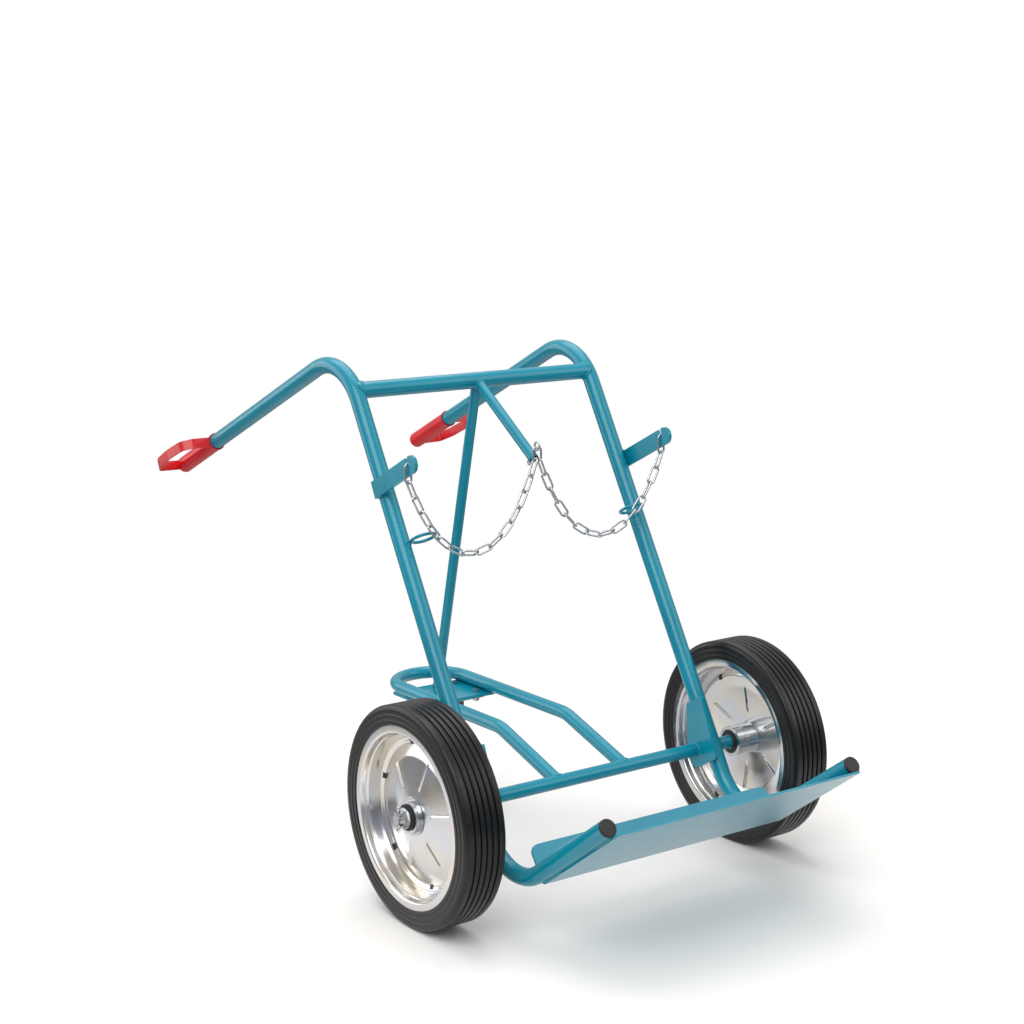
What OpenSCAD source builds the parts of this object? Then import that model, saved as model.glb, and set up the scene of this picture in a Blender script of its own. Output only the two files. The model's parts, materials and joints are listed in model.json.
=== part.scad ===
// Two-place hand truck for tall round bottles, parked on its two road wheels and its rear castor.
// Millimetres, +Z up, toe plate towards -Y, grips towards +Y.
// The origin is on the floor, under the middle of the road wheels' axle.

/* [Posture] */
// Lean of the side tubes from the vertical when the truck is parked
tilt = 29.3; // [24:0.1:34]

/* [Side tubes] */
// Outer diameter of the side tubes and the upper cross tube
main_d = 32; // [28:0.5:38]
// Wall of the side tubes and the upper cross tube
main_wall = 2.6; // [2:0.1:4]
// Distance between the middles of the two side tubes
frame_w = 546; // [500:1:580]
// Length of a side tube from the axle up to the corner of its top bend
upright_len = 881; // [800:1:940]
// Radius of the top bend, at the tube's middle
top_bend_r = 120; // [100:1:140]
// Angle that the handle turns away from the side tube
handle_angle = 84.7; // [75:0.1:95]
// Angle that each handle spreads outwards
handle_flare = 2; // [0:0.1:5]
// Length of a handle from the corner of the top bend to the grip's mouth
handle_len = 562; // [500:1:620]
// Length of a side tube from the axle down to the corner of its toe bend
toe_drop = 176; // [160:1:182]
// Radius of the toe bend, at the tube's middle
toe_bend_r = 108; // [95:1:112]
// Angle between a side tube and its toe arm
toe_angle = 84; // [82:0.5:88]
// Length of a toe arm from the corner of the toe bend to the tube's end
toe_len = 352; // [320:1:380]
// Distance from the corner of the top bend down to the upper cross tube, along the side tubes
cross_drop = 86; // [80:1:120]

/* [Centre tubes] */
// Outer diameter of the brace and the centre arm
arm_d = 20; // [18:0.5:22]
// Wall of the brace and the centre arm
arm_wall = 2; // [1.5:0.1:3]
// Angle between the centre arm and the side tubes
arm_angle = 25.4; // [20:0.1:32]
// Length of the centre arm from the middle of the cross tube to its open end
arm_len = 232; // [200:1:240]
// Distance from the axle back to the foot of the brace
brace_back = 531; // [515:1:545]

/* [Grips] */
// Outer diameter of a grip's sleeve
grip_d = 35; // [34:0.5:40]
// Length of a grip
grip_len = 172; // [155:1:180]
// Depth that the handle tube goes into the grip
grip_depth = 150; // [120:1:150]
// Reach of the knuckle guard from the middle of the sleeve
guard_reach = 82; // [75:1:90]
// Width of the knuckle guard's band
guard_w = 20; // [16:0.5:24]
// Thickness of the knuckle guard's band
guard_t = 5; // [4:0.1:6]

/* [Hook bars and loops] */
// Height of a hook bar
hook_h = 33; // [28:0.5:36]
// Thickness of a hook bar
hook_t = 6; // [4:0.5:6]
// Height of a hook bar's middle above the axle, along the side tube
hook_up = 597; // [560:1:620]
// Length that a hook bar stands in front of the side tube's middle
hook_len = 156; // [156:1:180]
// Angle that a hook bar droops from square to the side tube
hook_droop = 3.5; // [0:0.5:6]
// Distance from the side tube's middle to the hook bar's slot
slot_out = 130; // [125:1:136]
// Width of the hook bar's slot
slot_w = 9; // [8:0.5:11]
// Depth of the hook bar's slot
slot_depth = 15; // [12:0.5:17]
// Lean of the slot
slot_lean = 8; // [0:1:15]
// Diameter of the loops' round bar
loop_wire = 6; // [5:0.5:8]
// Diameter of a loop at the middle of its bar
loop_d = 46; // [40:1:48]
// Height of the loops above the axle, along the side tubes
loop_up = 483; // [440:1:500]
// Direction of a loop, turned forwards from square to the truck's middle
loop_turn = 44; // [30:1:46]

/* [Toe plate] */
// Thickness of the toe plate
toe_t = 4; // [3:0.5:6]
// Distance from a side tube's middle to the toe plate's edge
toe_inset = 3; // [1:0.5:10]
// Distance from the toe bend's corner to the back of the toe plate
toe_back = 114; // [113:1:130]
// Distance from the toe bend's corner to the front edge of the toe plate
toe_front = 370; // [350:1:390]
// Height of the toe plate's flange above the middle of the toe arms
flange_up = 51; // [40:1:60]
// Corner radius of the flange
flange_r = 16; // [10:1:20]
// Thickness of a toe cap's head
cap_t = 5; // [4:0.5:8]
// Depth of a toe cap's plug
cap_plug = 18; // [12:1:25]

/* [Road wheels] */
// Outer diameter of the road wheels
wheel_d = 400; // [380:2:420]
// Width of the road wheels' tyres
tyre_w = 84; // [80:1:88]
// Clearance between a side tube and its road wheel's tyre
wheel_gap = 41; // [30:1:60]
// Height of the rubber from the rim's lip to the tread
tyre_h = 37; // [34:0.5:42]
// Thickness of the pressed steel
rim_t = 3; // [2:0.1:4]
// Depth of the rim's well below its lip
well_depth = 18.5; // [16:0.5:20]
// Number of ribs, and of tab holes, in the rim's disc
rim_ribs = 6; // [5:1:8]
// Width of a tab hole
tab_w = 9; // [6:0.5:12]
// Outer diameter of a hub
hub_d = 59; // [56:0.5:64]
// Length of a hub
hub_len = 64; // [60:1:70]
// Outer diameter of the hub bearings
bearing_d = 47; // [42:0.5:50]
// Width of a hub bearing
bearing_w = 14; // [12:0.5:16]

/* [Axle] */
// Diameter of the steel axle
axle_d = 20; // [18:0.5:22]
// Outer diameter of the axle tube and the rear bow
bow_d = 26; // [25:0.1:28]
// Wall of the rear bow
bow_wall = 2.6; // [2:0.1:3]
// Diameter of the axle washers
washer_d = 37; // [34:0.5:40]
// Thickness of the axle washers
washer_t = 4; // [3:0.5:5]
// Width across the flats of the axle nuts
nut_af = 30; // [28:0.5:32]
// Height of the axle nuts
nut_h = 15; // [14:0.5:18]
// Thickness of the axle plates
gusset_t = 6; // [5:0.5:8]

/* [Rear bow] */
// Distance between the middles of the bow's two legs
bow_w = 156; // [150:1:170]
// Distance from the axle back to the bow's knee
bow_knee = 186; // [170:1:200]
// Bend radius at the knee
knee_r = 90; // [70:1:110]
// Distance from the axle back to the middle of the bow's rear
bow_back = 622; // [615:1:660]
// Thickness of the castor's mounting plate on the bow
mount_t = 6; // [5:0.5:8]
// Length of the mounting plate
mount_len = 126; // [120:1:140]

/* [Castor] */
// Overall height of the castor
castor_h = 242; // [240:1:250]
// Diameter of the castor's wheel
castor_d = 200; // [190:1:202]
// Width of the castor's tyre
castor_w = 48; // [44:1:52]
// Distance from the axle back to the castor's swivel axis
castor_back = 505; // [495:1:512]
// Trail of the castor's wheel behind its swivel axis
castor_trail = 55; // [50:1:60]
// Width of the castor's top plate
head_w = 135; // [130:1:140]
// Length of the castor's top plate
head_len = 110; // [106:1:118]
// Thickness of the castor's top plate and fork
head_t = 4; // [3:0.5:5]
// Spacing of the castor's bolts across the truck
bolt_dx = 105; // [100:1:108]
// Spacing of the castor's bolts along the truck
bolt_dy = 80; // [76:1:84]
// Diameter of the castor's bolts
bolt_d = 8; // [6:0.5:10]
// Diameter of the swivel head's ball race
race_d = 78; // [72:1:84]
// Diameter of the swivel head's balls
ball_d = 8; // [6:0.5:9]
// Number of balls in the swivel head
balls = 20; // [12:1:20]
// Diameter of the castor wheel's axle bolt
castor_axle_d = 12; // [10:0.5:14]

/* [Chain] */
// Diameter of the chain's wire
wire_d = 4; // [3.5:0.1:4.2]
// Pitch of the chain
pitch = 32; // [30:0.5:34]
// Outer width of a link
link_w = 17; // [16:0.5:18]
// Number of links in each of the two chains
links = 15; // [13:1:16]
// Diameter of the eye bolt's shank
eye_bolt_d = 6; // [5:0.5:7]
// Distance from the centre arm's middle to the middle of the eye
eye_reach = 27; // [26:0.5:30]
// Inner width of the eye
eye_w = 11; // [10:0.5:12]
// Inner width of the connecting link
connect_w = 14; // [14:0.5:16]
// Inner length of the connecting link
connect_len = 20; // [18:1:24]

/* [Hidden] */
$fn = 48;
// Gap between parts that turn or hang against each other
play = 0.3;
// Gap of a close fit
fit = 0.05;
// Overrun of every cut
over = 1;
// Stretch by which a tube's straight runs lap over its bends, and how far they stand proud
lap = 2;
lap_step = 0.05;

axle_z = wheel_d / 2;
half_w = frame_w / 2;
toe_w = frame_w - 2 * toe_inset;
main_r = main_d / 2;
bow_r = bow_d / 2;
arm_r = arm_d / 2;
// The side tubes stand against the front of the axle tube
tube_y = -(main_r + bow_r);
toe_lift = tilt + 90 - toe_angle;

mount_top = castor_h + mount_t;
bow_z = mount_top + bow_r;

rim_r = axle_z - tyre_h;
well_r = rim_r - well_depth;
hub_r = hub_d / 2;
wheel_x = half_w + main_r + wheel_gap + tyre_w / 2;
hub_face = wheel_x + hub_len / 2;
washer_face = hub_face + rim_t;
nut_face = washer_face + washer_t;
axle_end = nut_face + nut_h + axle_d / 10;
axle_tube_end = wheel_x - hub_len / 2 - rim_t;
// The split pins go through the axle and the nuts' slots
pin_r = axle_d / 10;
pin_x = axle_end - nut_h / 3;

hook_x = half_w + main_r + hook_t / 2;

// A side tube's path in its own frame, where +Z runs up the tube and -Y is forwards
top_corner = [0, tube_y, upright_len];
handle_dir = [sin(handle_flare), cos(handle_flare) * sin(handle_angle),
    cos(handle_flare) * cos(handle_angle)];
toe_corner = [0, tube_y, -toe_drop];
toe_dir = [0, -sin(toe_angle), cos(toe_angle)];
side_path = [top_corner + handle_dir * (handle_len + grip_depth), top_corner, toe_corner,
    toe_corner + toe_dir * toe_len];

// The upper cross tube's middle, in the side tubes' frame and in the truck's frame
cross_up = upright_len - cross_drop;
cross_y = tube_y * cos(tilt) + cross_up * sin(tilt);
cross_z = axle_z - tube_y * sin(tilt) + cross_up * cos(tilt);
cross_mid = [0, cross_y, cross_z];

// The centre arm leaves the cross tube forwards and down
arm_fall = 90 - tilt - arm_angle;
arm_dir = [0, -cos(arm_fall), -sin(arm_fall)];
arm_up = [0, -sin(arm_fall), cos(arm_fall)];
arm_end = cross_mid + arm_dir * arm_len;

function unit(v) = v / norm(v);
function side(v) = abs(v[0]) < 0.9 ? unit(cross(v, [1, 0, 0])) : unit(cross(v, [0, 1, 0]));
// A matrix with the columns x, y and z, moved to p
function basis(x, y, z, p) = [
    [x[0], y[0], z[0], p[0]],
    [x[1], y[1], z[1], p[1]],
    [x[2], y[2], z[2], p[2]],
    [0, 0, 0, 1]];

// Turns a flat outline's corners into arcs, each of its own radius
function corner_arc(a, v, b, r, steps) =
    let (u1 = unit(v - a), u2 = unit(b - v), turn = acos(max(-1, min(1, u1 * u2))))
    turn == 0 ? [v] :
    let (s = sign(u1[0] * u2[1] - u1[1] * u2[0]), t = r * tan(turn / 2),
        mid = v - u1 * t + s * r * [-u1[1], u1[0]], from = v - u1 * t - mid)
    [for (i = [0:steps])
        let (k = s * turn * i / steps)
        mid + [from[0] * cos(k) - from[1] * sin(k), from[0] * sin(k) + from[1] * cos(k)]];
function rounded(p, radii, steps = 6) = concat([p[0]],
    [for (i = [1:len(p) - 2]) each corner_arc(p[i - 1], p[i], p[i + 1], radii[i - 1], steps)],
    [p[len(p) - 1]]);
function closed(p, radii, steps = 6) = let (n = len(p))
    [for (i = [0:n - 1]) each corner_arc(p[(i + n - 1) % n], p[i], p[(i + 1) % n], radii[i], steps)];
// An open line moved sideways by w, and the outline of a band of thickness t along it
function normal_at(p, i) = let (k = max(0, min(i, len(p) - 2)), u = unit(p[k + 1] - p[k])) [-u[1], u[0]];
function aside(p, w) = [for (i = [0:len(p) - 1])
    let (a = normal_at(p, i - 1), b = normal_at(p, i)) p[i] + (a + b) * w / (1 + a * b)];
function back_to_front(p) = [for (i = [len(p) - 1:-1:0]) p[i]];
function flipped(p) = [for (i = [len(p) - 1:-1:0]) [-p[i][0], p[i][1]]];
function band(p, t) = concat(aside(p, t / 2), back_to_front(aside(p, -t / 2)));

// A round bar from p to q
module bar(p, q, r) {
    z = unit(q - p);
    x = side(z);
    multmatrix(basis(x, cross(z, x), z, p)) cylinder(h = norm(q - p), r = r);
}

// A round bar bent at the point v, from direction a to direction b
module elbow(v, a, b, bend_r, r) {
    turn = acos(a * b);
    inward = unit(b - a * (a * b));
    start = v - a * bend_r * tan(turn / 2);
    multmatrix(basis(-inward, a, cross(-inward, a), start + inward * bend_r))
        rotate_extrude(angle = turn) translate([bend_r, 0]) circle(r = r);
}

// A round bar along the points p, bent to the given radius at each inner point. The bends are
// drawn a hair thinner than the straight runs, whose ends lap over them.
module bent_bar(p, radii, r) {
    n = len(p) - 1;
    dirs = [for (i = [0:n - 1]) unit(p[i + 1] - p[i])];
    cuts = concat([0], [for (i = [1:n - 1])
        radii[i - 1] * tan(acos(dirs[i - 1] * dirs[i]) / 2) - lap], [0]);
    for (i = [0:n - 1])
        bar(p[i] + dirs[i] * cuts[i], p[i + 1] - dirs[i] * cuts[i + 1], r);
    for (i = [1:n - 1])
        elbow(p[i], dirs[i - 1], dirs[i], radii[i - 1], r - lap_step);
}

// A round bar along X, from -x to x
module cross_bar(x, r) {
    rotate([0, 90, 0]) cylinder(h = 2 * x, r = r, center = true);
}

// The frame of the side tubes: origin on the axle, +Z up the tubes
module lean_back() {
    translate([0, 0, axle_z]) rotate([-tilt, 0, 0]) children();
}

// The frame of the toe arms: origin at the toe bend's corner, -Y along the arms
module toe_frame() {
    lean_back() translate([0, tube_y, -toe_drop]) rotate([toe_angle - 90, 0, 0]) children();
}

// A piece made for the operator's left, at +X, or mirrored to the right
module on_side(s) {
    if (s > 0) children();
    else mirror([1, 0, 0]) children();
}

module side_tube(s) {
    bore = [side_path[0] + handle_dir * over, top_corner, toe_corner, side_path[3] + toe_dir * over];
    color("darkcyan")
    on_side(s) lean_back() translate([half_w, 0, 0]) difference() {
        bent_bar(side_path, [top_bend_r, toe_bend_r], main_r);
        bent_bar(bore, [top_bend_r, toe_bend_r], main_r - main_wall);
    }
}
module left_side_tube() side_tube(1);
module right_side_tube() side_tube(-1);

// The tube's ends are cut to fit round the side tubes
module upper_cross_tube() {
    color("darkcyan")
    lean_back() difference() {
        translate([0, tube_y, cross_up]) cross_bar(half_w, main_r);
        translate([0, tube_y, cross_up]) cross_bar(half_w + over, main_r - main_wall);
        for (s = [-1, 1]) on_side(s) translate([half_w, 0, 0])
            bent_bar([side_path[0], top_corner, toe_corner], [top_bend_r], main_r);
    }
}

module axle_tube() {
    color("darkcyan")
    translate([0, 0, axle_z]) difference() {
        cross_bar(axle_tube_end, bow_r);
        cross_bar(axle_tube_end + over, axle_d / 2 + fit);
    }
}

// Flat plates inside the side tubes that carry the axle tube; shares of the side tube's diameter
gusset_top_share = 2.75;
gusset_low_share = 1.05;
gusset_front_shares = [1.2, 0.75];
gusset_back_shares = [0.3, 0.75];

module axle_plate(s) {
    front = -tube_y;
    color("teal")
    on_side(s) lean_back()
    translate([half_w - main_r - gusset_t, 0, 0]) rotate([90, 0, 90]) difference() {
        linear_extrude(height = gusset_t)
            polygon(closed([
                [-front - gusset_front_shares[1] * main_d, -gusset_low_share * main_d],
                [-front - gusset_front_shares[0] * main_d, gusset_top_share * main_d],
                [-front + gusset_back_shares[0] * main_d, gusset_top_share * main_d],
                [gusset_back_shares[1] * main_d, 0],
                [gusset_back_shares[1] * main_d, -gusset_low_share * main_d]],
                [gusset_t, gusset_t / 2, gusset_t, main_d, main_r]));
        translate([0, 0, -over]) cylinder(h = gusset_t + 2 * over, r = bow_r);
    }
}
module left_axle_plate() axle_plate(1);
module right_axle_plate() axle_plate(-1);

// The bow's legs start where their cut ends close round the axle tube
leg_start_share = 0.35;

module bow_bar(r, extra) {
    leg = bow_w / 2;
    run = unit([0, bow_knee, bow_z - axle_z]);
    start = [0, 0, axle_z] + run * (bow_r * leg_start_share - extra);
    for (s = [-1, 1]) translate([s * leg, 0, 0])
        bent_bar([[0, bow_back - leg, bow_z], [0, bow_knee, bow_z], start], [knee_r], r);
    translate([0, bow_back - leg, bow_z])
        rotate_extrude(angle = 180) translate([leg, 0]) circle(r = r);
}

module rear_bow() {
    color("darkcyan")
    difference() {
        bow_bar(bow_r, 0);
        bow_bar(bow_r - bow_wall, over);
        translate([0, 0, axle_z]) cross_bar(bow_w, bow_r);
    }
}

module bolt_places() {
    for (x = [-1, 1], y = [-1, 1])
        translate([x * bolt_dx / 2, castor_back + y * bolt_dy / 2, 0]) children();
}

module castor_mount() {
    w = bow_w + bow_r;
    color("teal")
    difference() {
        translate([-w / 2, castor_back - mount_len / 2, castor_h]) cube([w, mount_len, mount_t]);
        bolt_places() translate([0, 0, castor_h - over])
            cylinder(h = mount_t + 2 * over, r = bolt_d / 2 + fit);
    }
}

module brace_tube() {
    foot = [0, brace_back, mount_top];
    run = unit(foot - cross_mid);
    color("teal")
    difference() {
        bar(cross_mid, foot + run * arm_d, arm_r);
        bar(cross_mid - run, foot + run * 2 * arm_d, arm_r - arm_wall);
        translate(cross_mid) cross_bar(bow_w, main_r);
        translate([-arm_d, brace_back - 2 * arm_d, mount_top - 2 * arm_d])
            cube([2 * arm_d, 4 * arm_d, 2 * arm_d]);
    }
}

// The eye bolt sits near the arm's open end
eye_foot = arm_end - arm_dir * 1.1 * eye_bolt_d;
eye_mid = eye_foot + arm_up * eye_reach;

module centre_arm() {
    color("teal")
    difference() {
        bar(cross_mid, arm_end, arm_r);
        bar(cross_mid, arm_end + arm_dir * over, arm_r - arm_wall);
        translate(cross_mid) cross_bar(bow_w, main_r);
        bar(eye_foot - arm_up * arm_d, eye_foot + arm_up * arm_d, eye_bolt_d / 2 + fit);
    }
}

module hex(af, h) {
    cylinder(h = h, r = af / sqrt(3), $fn = 6);
}

// Drawn with +Z along the shank and +X across the truck, origin in the middle of the arm
module eye_frame() {
    multmatrix(basis([1, 0, 0], cross(arm_up, [1, 0, 0]), arm_up, eye_foot)) children();
}

module eye_bolt() {
    r = (eye_w + wire_d) / 2;
    color("silver")
    eye_frame() {
        translate([0, 0, -arm_r - 1.6 * eye_bolt_d]) cylinder(h = eye_reach - r + arm_r + 1.6 * eye_bolt_d,
            r = eye_bolt_d / 2);
        translate([0, 0, eye_reach]) rotate([0, 90, 0])
            rotate_extrude() translate([r, 0]) circle(r = wire_d / 2);
    }
}

module eye_nut() {
    color("silver")
    eye_frame() translate([0, 0, -arm_r - eye_bolt_d]) difference() {
        hex(1.7 * eye_bolt_d, eye_bolt_d);
        translate([0, 0, -over]) cylinder(h = eye_bolt_d + 2 * over, r = eye_bolt_d / 2 + fit);
    }
}

// A link of round wire: origin in its middle, long along Z, wide along X
module link(len_in, w_in, d) {
    r = (w_in + d) / 2;
    h = (len_in - w_in) / 2;
    for (k = [-1, 1]) {
        translate([k * r, 0, -h]) cylinder(h = 2 * h, r = d / 2);
        translate([0, 0, k * h]) rotate([90, 0, 0]) rotate([0, 0, k > 0 ? 0 : 180])
            rotate_extrude(angle = 180) translate([r, 0]) circle(r = d / 2);
    }
}

// The connecting link hangs from the foot of the eye, square to it, with flat ends
connect_mid = eye_mid - [0, 0, (eye_w + connect_len) / 2 - fit];
connect_foot = connect_mid - [0, 0, (connect_len + wire_d) / 2];

module connecting_link() {
    w = (connect_w + wire_d) / 2;
    h = (connect_len + wire_d) / 2;
    r = wire_d / 2;
    color("silver")
    translate(connect_mid) {
        for (k = [0:3])
            translate([(w - wire_d) * (k % 3 == 0 ? 1 : -1), 0, (h - wire_d) * (k < 2 ? 1 : -1)])
                rotate([90, 0, 0]) rotate([0, 0, 90 * k])
                    rotate_extrude(angle = 90) translate([wire_d, 0]) circle(r = r);
        for (k = [-1, 1]) {
            translate([k * w, 0, wire_d - h]) cylinder(h = 2 * (h - wire_d), r = r);
            translate([0, 0, k * h]) cross_bar(w - wire_d, r);
        }
    }
}

// The slot's place and lean in the hook bar's own frame, where +X is forwards and +Y is up
module slot_frame() {
    translate([slot_out, hook_h / 2]) rotate(-slot_lean) children();
}

module hook_outline() {
    difference() {
        union() {
            translate([-main_r / 2, -hook_h / 2]) square([hook_len + main_r / 2 - hook_h / 2, hook_h]);
            translate([hook_len - hook_h / 2, 0]) circle(r = hook_h / 2);
        }
        slot_frame() {
            translate([-slot_w / 2, -slot_depth + slot_w / 2]) square([slot_w, slot_depth + slot_w]);
            translate([0, -slot_depth + slot_w / 2]) circle(r = slot_w / 2);
        }
    }
}

module hook_bar(s) {
    color("cadetblue")
    on_side(s) lean_back() translate([half_w + main_r, tube_y, hook_up])
        rotate([hook_droop, 0, 0]) rotate([90, 0, 90]) mirror([1, 0, 0])
        linear_extrude(height = hook_t) hook_outline();
}
module left_hook_bar() hook_bar(1);
module right_hook_bar() hook_bar(-1);

module tool_loop(s) {
    reach = main_r + loop_wire / 2 + loop_d / 2 - fit;
    color("teal")
    on_side(s) lean_back()
    translate([half_w - reach * cos(loop_turn), tube_y - reach * sin(loop_turn), loop_up])
        rotate_extrude() translate([loop_d / 2, 0]) circle(r = loop_wire / 2);
}
module left_tool_loop() tool_loop(1);
module right_tool_loop() tool_loop(-1);

// The plate's section: forwards is +X, up is +Y, and its back is bent up into a flange
module toe_section() {
    y = -main_r - toe_t / 2;
    x = toe_back + toe_t / 2;
    polygon(band(rounded([[toe_front, y], [x, y], [x, flange_up]], [1.5 * toe_t]), toe_t));
}

module toe_plate() {
    color("cadetblue")
    toe_frame() difference() {
        rotate([90, 0, -90]) linear_extrude(height = toe_w, center = true) toe_section();
        for (s = [-1, 1]) {
            translate([s * half_w, over - toe_back, 0]) rotate([90, 0, 0])
                cylinder(h = toe_front, r = main_r);
            translate([s * half_w, over - toe_back, 0]) rotate([90, 0, 0])
                translate([-main_r, -main_r, 0]) cube([main_d, main_r, toe_front]);
            translate([s * (toe_w / 2 - flange_r), over - toe_back, flange_up - flange_r])
                rotate([90, 0, 0]) difference() {
                    translate([s > 0 ? 0 : -flange_r - over, 0, 0])
                        cube([flange_r + over, flange_r + over, toe_t + 2 * over]);
                    translate([0, 0, -over]) cylinder(h = toe_t + 4 * over, r = flange_r);
                }
        }
    }
}

module toe_cap(s) {
    color("dimgray")
    on_side(s) toe_frame() translate([half_w, -toe_len, 0]) rotate([90, 0, 0]) {
        rotate_extrude() polygon(concat([[0, 0], [main_r, 0]],
            [for (k = [0:15:90]) [main_r - cap_t * (1 - cos(k)) / 2, cap_t / 2 * (1 + sin(k))]],
            [[0, cap_t]]));
        translate([0, 0, -cap_plug]) cylinder(h = cap_plug, r = main_r - main_wall);
    }
}
module left_toe_cap() toe_cap(1);
module right_toe_cap() toe_cap(-1);

// The grip's frame: +Z runs along the handle from its mouth, +X is the outer side
module grip_frame(s) {
    on_side(s) lean_back()
    translate([half_w, 0, 0] + top_corner + handle_dir * handle_len)
        rotate([-handle_angle, 0, 0]) rotate([0, handle_flare, 0]) children();
}

// The guard's line, as shares of its reach outwards and of the grip's length along it
guard_shares = [[0.2, 0.014], [0.67, 0.014], [0.94, 0.09], [1, 0.39], [0.94, 0.74], [0.76, 0.935],
    [0.19, 0.95]];
guard_radius_shares = [0.2, 0.2, 0.9, 0.5, 0.1];

module grip(s) {
    sleeve_r = grip_d / 2;
    line = [for (p = guard_shares) [p[0] * guard_reach, p[1] * grip_len]];
    color("crimson")
    grip_frame(s) difference() {
        union() {
            rotate_extrude() polygon(concat([[0, 0], [sleeve_r + guard_t / 4, 0],
                [sleeve_r + guard_t / 4, guard_t], [sleeve_r, 2 * guard_t]],
                [for (k = [0:15:90])
                    [sleeve_r * cos(k), grip_len - sleeve_r / 2 + sleeve_r / 2 * sin(k)]]));
            rotate([90, 0, 0]) linear_extrude(height = guard_w, center = true)
                polygon(band(rounded(line, [for (r = guard_radius_shares) r * guard_reach]), guard_t));
        }
        translate([0, 0, -guard_w]) cylinder(h = grip_depth + guard_w, r = main_r);
        translate([0, 0, -guard_w]) cylinder(h = guard_t + guard_w, r = main_r + guard_t / 4);
    }
}
module left_grip() grip(1);
module right_grip() grip(-1);

module axle() {
    color("gray")
    translate([0, 0, axle_z]) difference() {
        union() {
            cross_bar(axle_end - axle_d / 10, axle_d / 2);
            cross_bar(axle_end, axle_d / 2 - axle_d / 20);
        }
        for (s = [-1, 1]) translate([s * pin_x, 0, 0])
            cylinder(h = 2 * axle_d, r = pin_r + fit, center = true);
    }
}

module axle_washers() {
    color("silver")
    for (s = [-1, 1]) translate([s * washer_face, 0, axle_z]) rotate([0, s * 90, 0])
        difference() {
            cylinder(h = washer_t, r = washer_d / 2);
            translate([0, 0, -over]) cylinder(h = washer_t + 2 * over, r = axle_d / 2 + fit);
        }
}

module axle_nuts() {
    color("silver")
    for (s = [-1, 1]) translate([s * nut_face, 0, axle_z]) rotate([0, s * 90, 0]) difference() {
        intersection() {
            rotate(30) hex(nut_af, nut_h);
            rotate_extrude() polygon([[0, 0], [nut_af / sqrt(3), 0], [nut_af / sqrt(3), nut_h * 0.6],
                [nut_af * 0.47, nut_h * 0.68], [nut_af * 0.44, nut_h], [0, nut_h]]);
        }
        translate([0, 0, -over]) cylinder(h = nut_h + 2 * over, r = axle_d / 2 + fit);
        for (a = [0, 60, 120]) rotate(a)
            translate([-nut_af, -1.5 * pin_r, nut_h * 0.65]) cube([2 * nut_af, 3 * pin_r, nut_h]);
    }
}

// Each pin has an eye above the axle and a bent leg under it
module split_pins() {
    eye_r = 1.6 * pin_r;
    leg = nut_af / 2 + pin_r;
    color("silver")
    for (s = [-1, 1]) translate([s * pin_x, 0, axle_z]) {
        translate([0, 0, -leg]) cylinder(h = 2 * leg, r = pin_r);
        translate([0, 0, leg + eye_r]) rotate([0, 90, 0])
            rotate_extrude() translate([eye_r, 0]) circle(r = pin_r * 0.8);
        translate([0, 0, -leg]) rotate([0, s * 110, 0]) cylinder(h = 3 * pin_r, r = pin_r * 0.8);
        translate([0, 0, -leg]) sphere(r = pin_r);
    }
}

// A wheel part is drawn round Z, with +Z outwards, and set on its side of the axle
module on_axle(s) {
    translate([s * wheel_x, 0, axle_z]) rotate([0, s * 90, 0]) children();
}

// Turns an outline of [along the axle, radius] round the axle
module spin_outline(points) {
    rotate_extrude($fn = 96) polygon([for (p = points) [p[1], p[0]]]);
}

// The rim's section from the outer lip over the well to the inner lip
lip_x = tyre_w / 2 - 1.2 * rim_t;
rim_shares = [[1, 0], [1, 0.66], [0.72, 0.78], [0.66, 0.93], [0.18, 1]];
rim_half = rounded([for (p = rim_shares) [p[0] * lip_x, rim_r - p[1] * well_depth]],
    [rim_t * 1.2, rim_t, rim_t], 3);
rim_line = concat(rim_half, flipped(rim_half));

// The disc's section from the rim's well to the hub: places along the axle are shares of the
// dish, radii are shares of the way from the hub to the well
dish = hub_len / 3.2;
disc_shares = [[0.25, 1], [0.25, 0.93], [0, 0.865], [0.4, 0.65], [0.8, 0.22], [1, 0.05], [1, 0]];
function disc_point(p) = [p[0] * dish, hub_r + p[1] * (well_r - rim_t / 2 - hub_r)];
disc_line = rounded([for (p = disc_shares) disc_point(p)],
    [rim_t, rim_t * 2, rim_t * 6, rim_t * 6, rim_t], 3);
rib_from = disc_point([0.8, 0.22]);
rib_to = disc_point([0.4, 0.65]);
tab_at = disc_point([0, 0.865]);

module wheel_rim(s) {
    color("lightgray")
    on_axle(s) spin_outline(band(rim_line, rim_t));
}
module left_wheel_rim() wheel_rim(1);
module right_wheel_rim() wheel_rim(-1);

module wheel_disc(s) {
    color("lightgray")
    on_axle(s) {
        difference() {
            spin_outline(band(disc_line, rim_t));
            for (i = [0:rim_ribs - 1]) rotate(360 * (i + 0.5) / rim_ribs)
                translate([tab_at[1] - tab_w / 2, -tab_w / 2, tab_at[0] - dish])
                    cube([tab_w, tab_w, 2 * dish]);
        }
        for (i = [0:rim_ribs - 1]) rotate(360 * i / rim_ribs) {
            bar([rib_from[1], 0, rib_from[0]], [rib_to[1], 0, rib_to[0]], rim_t);
            for (p = [rib_from, rib_to]) translate([p[1], 0, p[0]]) rotate([0, 90, 0]) sphere(r = rim_t * 0.9);
        }
    }
}
module left_wheel_disc() wheel_disc(1);
module right_wheel_disc() wheel_disc(-1);

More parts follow.
